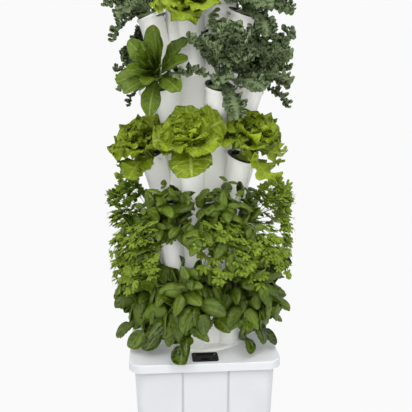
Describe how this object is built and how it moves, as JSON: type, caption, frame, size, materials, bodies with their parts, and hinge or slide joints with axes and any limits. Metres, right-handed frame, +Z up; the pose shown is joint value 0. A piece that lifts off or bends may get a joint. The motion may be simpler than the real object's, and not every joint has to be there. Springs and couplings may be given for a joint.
{
  "type": "hydroponic tower",
  "caption": "Free-standing hydroponic tower: a turning stack of white pocketed tiers planted with salad and herbs, on a square lidded reservoir with pump, riser and access flap.",
  "frame": {"origin": "on the floor, under the middle of the reservoir and on the tower's turning axis", "axes": "+Z up along the tower's axis, -Y out of the front, where the access flap is, +X to the right"},
  "size_m": [0.5548, 0.5708, 1.5468],
  "materials": {
    "white_plastic": "satin",
    "tank_plastic": "satin",
    "cup_plastic": "matte",
    "plug_foam": "matte",
    "port_plastic": "satin",
    "black_rubber": "matte",
    "pin_steel": "satin",
    "shaft_ceramic": "satin",
    "impeller_plastic": "satin",
    "pipe_plastic": "satin",
    "pump_plastic": "satin",
    "kale_leaf": "matte",
    "romaine_leaf": "satin",
    "lettuce_leaf": "satin",
    "basil_leaf": "satin",
    "parsley_leaf": "matte",
    "mixed_leaf": "matte"
  },
  "bodies": {
    "base": {"reservoir_tank": "tank_plastic", "tank_feet": "black_rubber", "reservoir_lid": "tank_plastic", "cord_grommet": "black_rubber", "port_bezel": "port_plastic", "flap_hinge_pin": "pin_steel", "pump_body": "pump_plastic", "pump_cover": "pump_plastic", "impeller_shaft": "shaft_ceramic", "pump_suction_feet": "black_rubber", "riser_lower": "pipe_plastic", "riser_middle": "pipe_plastic", "riser_upper": "pipe_plastic", "riser_couplers": "pipe_plastic", "water_distributor": "pipe_plastic"},
    "tower": {"basil_tier_2_front_left": "basil_leaf", "basil_tier_2_front_right": "basil_leaf", "butterhead_tier_3_front": "lettuce_leaf", "grow_plugs_tier_1": "plug_foam", "grow_plugs_tier_2": "plug_foam", "grow_plugs_tier_3": "plug_foam", "grow_plugs_tier_4": "plug_foam", "grow_plugs_tier_5": "plug_foam", "kale_tier_4_front_right": "kale_leaf", "kale_tier_4_left": "kale_leaf", "kale_tier_4_right": "kale_leaf", "kale_tier_5_left": "kale_leaf", "kale_tier_5_right": "kale_leaf", "lettuce_tier_3_left": "lettuce_leaf", "lettuce_tier_3_right": "lettuce_leaf", "lettuce_tier_5_front": "lettuce_leaf", "net_cups_tier_1": "cup_plastic", "net_cups_tier_2": "cup_plastic", "net_cups_tier_3": "cup_plastic", "net_cups_tier_4": "cup_plastic", "net_cups_tier_5": "cup_plastic", "parsley_tier_2_left": "parsley_leaf", "parsley_tier_2_right": "parsley_leaf", "rear_plants_tier_1": "mixed_leaf", "rear_plants_tier_2": "mixed_leaf", "rear_plants_tier_3": "mixed_leaf", "rear_plants_tier_4": "mixed_leaf", "rear_plants_tier_5": "mixed_leaf", "romaine_tier_4_front_left": "romaine_leaf", "tower_foot": "white_plastic", "tower_tier_1": "white_plastic", "tower_tier_2": "white_plastic", "tower_tier_3": "white_plastic", "tower_tier_4": "white_plastic", "tower_tier_5": "white_plastic", "trailing_basil_tier_1_front": "basil_leaf", "trailing_basil_tier_1_left": "basil_leaf", "trailing_basil_tier_1_right": "basil_leaf"},
    "cap": {"top_cap": "white_plastic"},
    "flap": {"port_flap": "port_plastic"},
    "impeller": {"pump_impeller": "impeller_plastic"}
  },
  "joints": [
    {"name": "tower_turn", "type": "hinge", "parent": "base", "child": "tower", "pos_m": [0, 0, 0.387], "axis": [0, 0, 1], "continuous": true},
    {"name": "cap_lift", "type": "slide", "parent": "tower", "child": "cap", "axis": [0, 0, 1], "range_m": [0, 0.15]},
    {"name": "flap_hinge", "type": "hinge", "parent": "base", "child": "flap", "pos_m": [0, -0.162, 0.387], "axis": [-1, 0, 0], "range_deg": [0, 65]},
    {"name": "impeller_spin", "type": "hinge", "parent": "base", "child": "impeller", "pos_m": [0, 0, 0.061], "axis": [1, 0, 0], "continuous": true}
  ]
}
